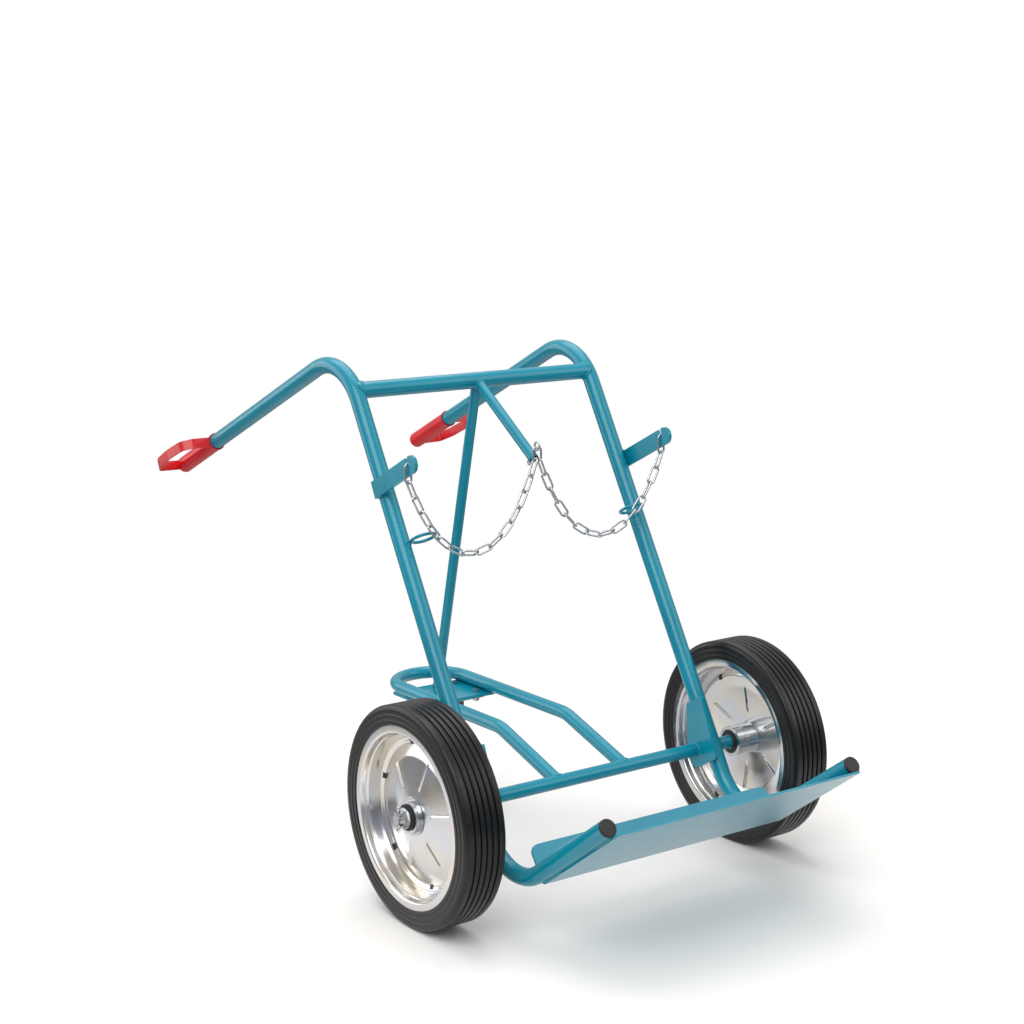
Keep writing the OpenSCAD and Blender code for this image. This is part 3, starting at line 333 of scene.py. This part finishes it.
tyre = {
    "turns": 240, "cornerSteps": 3, "sharpDeg": 28,
    "wall": [(39.9, 163.0, 0), (41.0, 163.8, 0.9), (41.7, 165.6, 1.2), (41.7, 171.6, 0.8),
             (40.7, 172.8, 0.6), (40.7, 174.2, 0.6), (41.9, 175.4, 0.8), (41.9, 181.4, 0.8),
             (40.9, 182.6, 0.6), (40.9, 184.0, 0.6), (41.8, 185.2, 0.8), (41.5, 191.4, 4),
             (40.2, 196.0, 3), (38.0, 198.9, 2.5)],
    "treadHalf": 35.3, "treadCorner": 1.5,
    "grooves": 5, "grooveTop": 2.08, "grooveFloor": 1.144, "grooveDepth": 3.4, "grooveCorner": 0.5,
}


def tyreSurface(side):
    # the moulded section carried round the axle: bead, two steps on the wall, shoulder, then a flat
    # tread with grooves at even distances, wider at the top than at the floor
    t, top = tyre, roadWheel["radius"]
    wall = t["wall"] + [(t["treadHalf"], top, t["treadCorner"])]
    floor = top - t["grooveDepth"]
    grooves = []
    for i in range(t["grooves"]):
        x = t["treadHalf"] * (1 - 2 * (i + 1) / (t["grooves"] + 1))
        grooves += [(x + dx, r, t["grooveCorner"]) for dx, r in (
            (t["grooveTop"], top), (t["grooveFloor"], floor), (-t["grooveFloor"], floor),
            (-t["grooveTop"], top))]
    outline = roundedSection(wall + grooves + mirrored(wall), t["cornerSteps"], loop=True)
    angle = ringAngles(t["turns"])[:, None]
    return aroundAxle(outline[:, 0], outline[:, 1], angle, side), True, True


rim = {
    "turns": 240, "cornerSteps": 6, "sharpDeg": 40, "sheet": 3.0,
    "half": [(38.4, 163.0, 0), (38.4, 150.9, 3.4), (27.8, 148.4, 3), (25.2, 145.9, 3), (7.0, 144.5, 5)],
}


def rimSurface(side):
    # the pressed section carried round the axle: flat lip, step, well and the same again inwards;
    # the outline runs beside that line, half the sheet's thickness away on each side
    line = roundedSection(rim["half"] + mirrored(rim["half"]), rim["cornerSteps"])
    beside = besideLine(line) * rim["sheet"] / 2
    outline = np.vstack([line + beside, (line - beside)[::-1]])
    angle = ringAngles(rim["turns"])[:, None]
    return aroundAxle(outline[:, 0], outline[:, 1], angle, side), True, True


disc = {
    "turns": 420, "along": 110, "cornerSteps": 7, "sharpDeg": 50, "sheet": 3.0,
    "section": [(5.0, 143.0, 0), (5.0, 135.1, 4), (0.0, 127.7, 7), (8.0, 103.3, 22), (16.0, 54.5, 22),
                (19.0, 35.2, 3), (20.0, 29.7, 0)],
    "ribs": 6, "ribHeight": 2.3, "ribSpread": 2.125, "ribFrom": 54.0, "ribTo": 104.0, "ribEnd": 1.2,
    "ribTurn": {1: 30.0, -1: 48.0},
    "tabs": 6, "tabRadius": 129.0, "tabHalfH": 5.2, "tabCells": 3, "tabTurn": {1: 0.0, -1: 17.5},
    # the dark sheets in the tab holes are painted shade: their places between the two sheets, and how sharp
    # their edges stay
    "paintedShadeFaces": (0.2, 0.8), "paintedShadeSharpDeg": 60,
}


def discSheets(side):
    # the pressed section carried round the axle, with the ribs raised on it: a bell in the distance
    # from the rib's middle times a smooth window in radius. The outer and inner sheets lie half the
    # thickness off that surface. Returns them with the section's radius at each point along it.
    d = disc
    line = roundedSection(d["section"], d["cornerSteps"])
    line = pointsAt(line, np.linspace(0, 1, d["along"]) * lengthAlong(line)[-1])
    normal = besideLine(line)
    normal *= np.sign(normal[:, :1])
    x, r = line.T
    angle = ringAngles(d["turns"])[:, None] + math.radians(d["tabTurn"][side])
    step = fullTurn / d["ribs"]
    away = ((angle - math.radians(d["ribTurn"][side]) + step / 2) % step - step / 2) * r
    bell = np.exp(-(away / d["ribSpread"]) ** 2)
    opens = 1 / (1 + np.exp((d["ribFrom"] - r) / d["ribEnd"]))
    closes = 1 / (1 + np.exp((r - d["ribTo"]) / d["ribEnd"]))
    raised = d["ribHeight"] * bell * opens * closes
    lifts = [raised + d["sheet"] / 2, raised - d["sheet"] / 2]
    return [aroundAxle(x + normal[:, 0] * lift, r + normal[:, 1] * lift, angle, side) for lift in lifts], r


def discSurfaces(side):
    # The angles start at a tab hole, so that the edges of all holes fall on grid lines. A hole is a
    # block of faces left out of both sheets, with a strip between the sheets as its wall. The inner
    # sheet's rows run backwards, as one closed section goes out on one sheet and back on the other.
    # A dark sheet of painted shade fills the hole, standing in for the shade inside the wheel: two patches
    # of the grid, a little inside both sheets, and a strip.
    d = disc
    sheets, r = discSheets(side)
    turns, count, half = d["turns"], d["along"], d["tabCells"]
    rows = np.flatnonzero(abs(r - d["tabRadius"]) < d["tabHalfH"])
    j0, j1 = rows[0], rows[-1]
    inside = [sheets[0] * (1 - t) + sheets[1] * t for t in d["paintedShadeFaces"]]
    kept = np.ones((turns, 2 * count), bool)
    walls, paintedHoleShade = [], []
    for k in range(d["tabs"]):
        middle = k * turns // d["tabs"]
        cells = np.arange(middle - half, middle + half) % turns
        kept[np.ix_(cells, np.arange(j0, j1))] = False
        kept[np.ix_(cells, 2 * count - 2 - np.arange(j0, j1))] = False
        i = np.arange(middle - half, middle + half + 1)
        j = np.arange(j0, j1 + 1)
        edgeI = np.concatenate([i, 0 * j[1:] + i[-1], i[-2::-1], 0 * j[-2:0:-1] + i[0]]) % turns
        edgeJ = np.concatenate([0 * i + j0, j[1:], 0 * i[1:] + j1, j[-2:0:-1]])
        walls.append((np.stack([sheet[edgeI, edgeJ] for sheet in sheets], axis=1), True, False))
        paintedHoleShade += [(sheet[np.ix_(i % turns, j)], False, False) for sheet in inside]
        paintedHoleShade.append((np.stack([sheet[edgeI, edgeJ] for sheet in inside], axis=1), True, False))
    pressed = np.concatenate([sheets[0], sheets[1][:, ::-1]], axis=1)
    return [(pressed, True, True, kept)] + walls, paintedHoleShade


def makeWheels():
    for side, word in ((1, "left"), (-1, "right")):
        body = word + "_wheel"
        makePiece(word + "Tyre", [tyreSurface(side)], "tyre_rubber", body, [word + "_wheel_tyre"],
                  tyre["sharpDeg"])
        makePiece(word + "Rim", [rimSurface(side)], "rim_zinc", body, [word + "_wheel_rim"],
                  rim["sharpDeg"])
        pressed, paintedHoleShade = discSurfaces(side)
        makePiece(word + "Disc", pressed, "rim_zinc", body, [word + "_wheel_disc"], disc["sharpDeg"])
        # dark sheets in the tab holes: painted shade standing in for the dark inside of the wheel
        makePiece(word + "TabHolePaintedShade", paintedHoleShade, "black_plastic", body, (), disc["paintedShadeSharpDeg"])


makeWheels()
print("road wheels made")

# the frame's own sizes; up is measured along the side tubes from the axle
truss = {
    "tilt": 29.3, "toeTilt": -6.0,
    "axleZ": 200.0, "halfW": 273.0, "tubeY": -29.0, "crossUp": 795.0, "toeDrop": 176.0,
    "mainR": 16.0, "axleTubeR": 13.0, "bowR": 13.0, "armR": 10.0, "bowX": 78.0,
}
bead = {
    "radius": 2.6, "ripple": 3.2, "rippleShare": 0.11, "sink": 0.35, "widen": 1.15, "taper": 1.5,
    "around": 10, "perRipple": 4, "fewest": 8, "saddleSteps": 72, "sharpDeg": 60,
}


def leaned(p):
    # a place in the leaned frame (origin at the axle, Z up the side tubes) to the truck's own frame
    p = np.asarray(p, float)
    c, s = math.cos(math.radians(truss["tilt"])), math.sin(math.radians(truss["tilt"]))
    return np.stack([p[..., 0], p[..., 1] * c + p[..., 2] * s,
                     truss["axleZ"] - p[..., 1] * s + p[..., 2] * c], axis=-1)


def leanedWay(v):
    # a direction in the leaned frame, without the shift of the origin
    return leaned(v) - leaned([0, 0, 0])


def columns(*values):
    # x, y and z as the columns of one table; a single number goes down the whole column
    return np.stack(np.broadcast_arrays(*values), axis=-1).astype(float)


def toePlace(x, forward, up):
    # a place in the toe arms' frame: forwards along the arms from the toe bend's corner
    a = math.radians(truss["toeTilt"])
    y = -forward * math.cos(a) - up * math.sin(a)
    z = -forward * math.sin(a) + up * math.cos(a)
    return leaned(columns(x, y + truss["tubeY"], z - truss["toeDrop"]))


def evenly(path, gap, closed):
    # the same path with points about gap apart, and their distances from the first
    if closed:
        path = np.vstack([path, path[:1]])
    whole = lengthAlong(path)[-1]
    at = np.linspace(0, whole, max(bead["fewest"], int(whole / gap)), endpoint=not closed)
    return pointsAt(path, at), at


def beadSurface(path, outward, closed=False, radius=bead["radius"]):
    # a bead is a circle carried along the path; its radius swells once for each ripple of the weld,
    # and at open ends it closes as a quarter ellipse
    path, at = evenly(np.asarray(path, float), bead["ripple"] / bead["perRipple"], closed)
    if closed:
        ahead = np.roll(path, -1, axis=0) - np.roll(path, 1, axis=0)
    else:
        ahead = np.gradient(path, axis=0)
    ahead = unit(ahead)
    out = outward(path) if callable(outward) else np.tile(unit(outward), (len(path), 1))
    out = unit(out - (out * ahead).sum(1, keepdims=True) * ahead)
    across = np.cross(ahead, out)
    total = at[-1] + (np.linalg.norm(path[0] - path[-1]) if closed else 0)
    ripples = max(1, round(total / bead["ripple"]))
    r = radius * (1 + bead["rippleShare"] * np.cos(fullTurn * ripples * at / total))
    if not closed:
        end = np.minimum(at, total - at) / (bead["taper"] * radius)
        r = r * np.sqrt(np.clip(1 - (1 - np.clip(end, 0, 1)) ** 2, 0, 1))
    phi = ringAngles(bead["around"])[None, :, None]
    middle = (path - out * bead["sink"] * radius)[:, None, :]
    ring = np.cos(phi) * out[:, None, :] + np.sin(phi) * across[:, None, :] * bead["widen"]
    return middle + ring * r[:, None, None], closed, True


def saddleWeld(start, way, r, mainPoint, mainWay, mainR, radius=bead["radius"]):
    # where a round branch meets a round main tube: for each angle round the branch, the distance
    # along it solves a quadratic, the distance from the main tube's axis being its radius
    way, mainWay = unit(way), unit(mainWay)
    u = unit(np.cross(way, mainWay))
    v = np.cross(way, u)
    phi = ringAngles(bead["saddleSteps"])[:, None]
    spoke = np.cos(phi) * u + np.sin(phi) * v
    base = np.asarray(start, float) + r * spoke
    fromPoint = base - np.asarray(mainPoint, float)
    fromAxis = fromPoint - (fromPoint @ mainWay)[:, None] * mainWay
    slide = way - (way @ mainWay) * mainWay
    a, b, c = slide @ slide, 2 * (fromAxis @ slide), (fromAxis * fromAxis).sum(1) - mainR ** 2
    s = (-b + np.sqrt(np.maximum(b * b - 4 * a * c, 0))) / (2 * a)
    path = base + s[:, None] * way
    outs = unit(unit(fromAxis + s[:, None] * slide) + spoke)

    def outward(points):
        # halfway between the two tubes' own normals, taken from the nearest point of the saddle
        nearest = np.argmin(((points[:, None, :] - path[None]) ** 2).sum(-1), axis=1)
        return outs[nearest]

    return beadSurface(path, outward, True, radius)


crossWeld = {"lift": 0.6}


def crossWelds(side):
    # cross tube into the side tube
    t = truss
    middle = leaned([side * t["halfW"], t["tubeY"], t["crossUp"]])
    return [saddleWeld(middle, [-side, 0, 0], t["mainR"], middle, leanedWay([0, 0, 1]),
                       t["mainR"] + crossWeld["lift"])]


axlePlateWeld = {
    "inset": 6.0, "circleSteps": 60,
    "seamUp": (-22, 76), "seamHalf": 4.2, "seamGap": 0.4, "seamOut": 0.6, "seamSteps": 20, "seamR": 2.2,
}


def axlePlateWelds(side):
    # a circle round the axle tube on the plate's inner face, then two runs up the edges of the line
    # in which the plate touches the side tube
    t, w = truss, axlePlateWeld
    turn = ringAngles(w["circleSteps"])
    circle = columns(side * (t["halfW"] - t["mainR"] - w["inset"]), t["axleTubeR"] * np.cos(turn),
                     t["axleZ"] + t["axleTubeR"] * np.sin(turn))

    def outward(points):
        spoke = (points - [0, 0, t["axleZ"]]) * [0, 1, 1] / t["axleTubeR"]
        return unit(spoke - [side, 0, 0])

    beads = [beadSurface(circle, outward, True)]
    for edge in (-1, 1):
        seam = leaned(columns(side * (t["halfW"] - t["mainR"] - w["seamGap"]),
                              t["tubeY"] + edge * w["seamHalf"],
                              np.linspace(*w["seamUp"], w["seamSteps"])))
        beads.append(beadSurface(seam, leanedWay([-side * w["seamOut"], edge, 0]), radius=w["seamR"]))
    return beads


hookBarWeld = {
    "up": 597.0, "droop": 3.5, "halfH": 16.5, "run": (-7.5, 9.5), "steps": 14,
    "deepest": 3.0, "gap": 0.4, "out": 0.8, "radius": 2.4,
}


def hookBarWelds(side):
    # one run along the bar's upper edge and one along its lower, following the side tube's curve
    t, w = truss, hookBarWeld
    droop = math.radians(w["droop"])
    k = np.linspace(*w["run"], w["steps"])
    depth = np.minimum(t["mainR"] - np.sqrt(np.maximum(t["mainR"] ** 2 - k * k, 0)), w["deepest"])
    beads = []
    for edge in (-1, 1):
        y = -k * math.cos(droop) - edge * w["halfH"] * math.sin(droop)
        z = -k * math.sin(droop) + edge * w["halfH"] * math.cos(droop)
        seam = leaned(columns(side * (t["halfW"] + t["mainR"] - depth + w["gap"]),
                              t["tubeY"] + y, w["up"] + z))
        beads.append(beadSurface(seam, leanedWay([side * w["out"], 0, edge]), radius=w["radius"]))
    return beads


toeStitch = {
    "runs": ((118, 184), (300, 352)), "x": 270.6, "steps": 16,
    # height in the arms' frame, shorter by this at each end, way out (sideways, up), radius
    "layers": ((-15.6, 0, (-1.0, 1.0), 2.6), (-16.6, 4, (1.0, -0.25), 2.2)),
}


def toeStitches(side):
    # short runs between the toe plate's edge and the arm, an upper and a lower one at each place
    beads = []
    for start, end in toeStitch["runs"]:
        for up, shorter, (sideways, rise), radius in toeStitch["layers"]:
            forward = np.linspace(start + shorter, end - shorter, toeStitch["steps"])
            way = toePlace(side * sideways, 0, rise) - toePlace(0, 0, 0)
            beads.append(beadSurface(toePlace(side * toeStitch["x"], forward, up), way, radius=radius))
    return beads


loopWeld = {
    "up": 483.0, "turn": 44.0, "reach": 16.2, "fan": (-0.5, -0.2, 0.2, 0.5), "rise": (0, 1.5, 1.5, 0),
    "corners": (0, 2, 2, 0), "cornerSteps": 5, "above": 1.2, "below": -4.2, "out": 0.7, "radius": 1.7,
}


def loopWelds(side):
    # one run above and one below the round bar of the side loop, fanned round the side tube
    t, w = truss, loopWeld
    turn = math.radians(w["turn"])
    fan = turn + np.array(w["fan"])
    touch = leaned(columns(side * (t["halfW"] - w["reach"] * np.cos(fan)),
                           t["tubeY"] - w["reach"] * np.sin(fan), w["up"] + np.array(w["rise"])))
    beads = []
    for flip, rise in ((1, w["above"]), (-1, w["below"])):
        seam = roundedLine(touch + rise * leanedWay([0, 0, 1]), w["corners"], w["cornerSteps"])
        way = leanedWay([-side * math.cos(turn), -math.sin(turn), w["out"] * flip])
        beads.append(beadSurface(seam, way, radius=w["radius"]))
    return beads


bowWeld = {
    "rise": (186.0, 61.0), "lift": 0.4, "radius": 2.4,
    "plateRuns": ((448, 492), (516, 560)), "plateX": 6.5, "plateZ": 249.6, "plateOut": 0.55, "steps": 12,
}


def bowWelds(side):
    # the bow's leg into the axle tube, then two runs between the leg and the castor plate
    t, w = truss, bowWeld
    foot = np.array([side * t["bowX"], 0, t["axleZ"]])
    beads = [saddleWeld(foot, [0, *w["rise"]], t["bowR"], foot, [1, 0, 0], t["axleTubeR"] + w["lift"],
                        w["radius"])]
    for start, end in w["plateRuns"]:
        seam = columns(side * (t["bowX"] + w["plateX"]), np.linspace(start, end, w["steps"]), w["plateZ"])
        beads.append(beadSurface(seam, [side, 0, w["plateOut"]], radius=w["radius"]))
    return beads


middleWeld = {
    "foot": (0, 531.0, 248.0), "footZ": 248.6, "footOut": 0.8, "footSteps": 48,
    "armAngle": 25.4, "lift": 0.3, "radius": 2.3,
}


def middleWelds():
    # brace tube and centre arm on the cross tube's middle, then the oval where the brace's foot
    # cuts the castor plate
    t, w = truss, middleWeld
    middle = leaned([0, t["tubeY"], t["crossUp"]])
    foot = np.array(w["foot"])
    braceWay = unit(foot - middle)
    fall = math.radians(90 - t["tilt"] - w["armAngle"])
    armWay = [0, -math.cos(fall), -math.sin(fall)]
    beads = [saddleWeld(middle, way, t["armR"], middle, [1, 0, 0], t["mainR"] + w["lift"], w["radius"])
             for way in (braceWay, armWay)]
    turn = ringAngles(w["footSteps"])[:, None]
    acrossBrace = unit(np.cross(braceWay, [1, 0, 0]))
    oval = foot + t["armR"] * (np.cos(turn) * [1, 0, 0] + np.sin(turn) * acrossBrace)
    oval = oval - braceWay * (oval[:, 2:] - w["footZ"]) / braceWay[2]

    def outward(points):
        return unit((points - foot) * [1, 1, 0] / t["armR"] + [0, 0, w["footOut"]])

    return beads + [beadSurface(oval, outward, True, w["radius"])]


def makeWelds():
    beads = []
    for side in (1, -1):
        for joint in (crossWelds, axlePlateWelds, hookBarWelds, toeStitches, loopWelds, bowWelds):
            beads += joint(side)
    beads += middleWelds()
    makePiece("weldBeads", beads, "blue_paint", "frame", (), bead["sharpDeg"])
    print("weld beads made:", len(beads))


makeWelds()

studioFloor = {
    "size": 12.0, "fadeFrom": 0.6, "fadeTo": 1.9,  # metres
    "finish": {
        "name": "paperFloor", "colour": "#EBE9E7",
        "shader": {"Roughness": 0.9, "Specular IOR Level": 0.1},
        "tints": [{"colour": "#E9E7E5", "lump": 400, "detail": 2}],
    },
}


def makeFloor():
    s = studioFloor["size"] / 2
    mesh = bpy.data.meshes.new("studioFloor")
    mesh.from_pydata([(-s, -s, 0), (s, -s, 0), (s, s, 0), (-s, s, 0)], [], [(0, 1, 2, 3)])
    floor = bpy.data.objects.new("studioFloor", mesh)
    bpy.context.scene.collection.objects.link(floor)
    material = makeFinish(studioFloor["finish"])
    tree = material.node_tree
    # the paper fades out with distance, so that the white behind it has no edge
    away = addNode(tree, "ShaderNodeVectorMath", {"operation": "LENGTH"},
                   {0: tree.nodes["Texture Coordinate"].outputs["Object"]}).outputs["Value"]
    clear = addNode(tree, "ShaderNodeMapRange", {"interpolation_type": "SMOOTHSTEP"}, {
        "Value": away, "From Min": studioFloor["fadeFrom"], "From Max": studioFloor["fadeTo"]})
    see = addNode(tree, "ShaderNodeBsdfTransparent")
    paper = tree.nodes["Principled BSDF"]
    mix = addNode(tree, "ShaderNodeMixShader", inputs={
        0: clear.outputs["Result"], 1: paper.outputs["BSDF"], 2: see.outputs["BSDF"]})
    tree.links.new(mix.outputs["Shader"], tree.nodes["Material Output"].inputs["Surface"])
    mesh.materials.append(material)


studioWorld = {
    "light": "#FFFFFF", "low": 0.3, "high": 0.78, "lowFrom": -0.1, "highFrom": 0.6,
    "background": "#FFFFFF", "backgroundStrength": 1.0,
}


def makeWorld():
    # the light is stronger from above than from the sides, as in a room with a white ceiling
    w = studioWorld
    world = bpy.data.worlds.new("studioWorld")
    world.use_nodes = True
    tree = world.node_tree
    tree.nodes.clear()
    way = addNode(tree, "ShaderNodeSeparateXYZ", inputs={
        0: addNode(tree, "ShaderNodeTexCoord").outputs["Generated"]})
    strength = addNode(tree, "ShaderNodeMapRange", {"interpolation_type": "SMOOTHSTEP"}, {
        "Value": way.outputs["Z"], "From Min": w["lowFrom"], "From Max": w["highFrom"],
        "To Min": w["low"], "To Max": w["high"]})
    soft = addNode(tree, "ShaderNodeBackground", inputs={
        "Color": linear(w["light"]), "Strength": strength.outputs["Result"]})
    white = addNode(tree, "ShaderNodeBackground", inputs={
        "Color": linear(w["background"]), "Strength": w["backgroundStrength"]})
    # the camera sees plain white, also through a clear piece
    rays = addNode(tree, "ShaderNodeLightPath").outputs
    seen = addNode(tree, "ShaderNodeMath", {"operation": "MAXIMUM"}, {
        0: rays["Is Camera Ray"], 1: rays["Is Transmission Ray"]})
    both = addNode(tree, "ShaderNodeMixShader", inputs={
        0: seen.outputs[0], 1: soft.outputs[0], 2: white.outputs[0]})
    addNode(tree, "ShaderNodeOutputWorld", inputs={"Surface": both.outputs[0]})
    bpy.context.scene.world = world


# places and sizes in metres, energy in watts
studioLamps = {
    "keyLamp": {"place": (-3.2, -2.4, 4.2), "aim": (0, 0, 0.5), "size": (3.8, 3.8), "watts": 160},
    "sideLamp": {"place": (-2.8, 3.6, 1.5), "aim": (0, 0, 0.5), "size": (3.4, 2.8), "watts": 52},
    "fillLamp": {"place": (3.6, -3.0, 3.0), "aim": (0, 0, 0.5), "size": (3.6, 3.0), "watts": 45},
    "topLamp": {"place": (0.3, 1.5, 4.8), "aim": (0, 0.1, 0.4), "size": (4.2, 4.2), "watts": 110},
}


def makeLamps():
    # wide area lamps, each turned to face its aim
    for name, lamp in studioLamps.items():
        data = bpy.data.lights.new(name, "AREA")
        data.shape = "RECTANGLE"
        data.size, data.size_y = lamp["size"]
        data.energy = lamp["watts"]
        holder = bpy.data.objects.new(name, data)
        holder.location = lamp["place"]
        holder.rotation_mode = "QUATERNION"
        holder.rotation_quaternion = (Vector(lamp["aim"]) - Vector(lamp["place"])).to_track_quat("-Z", "Y")
        bpy.context.scene.collection.objects.link(holder)


makeFloor()
makeWorld()
makeLamps()
bpy.context.scene.view_settings.view_transform = "Standard"
print("studio made")
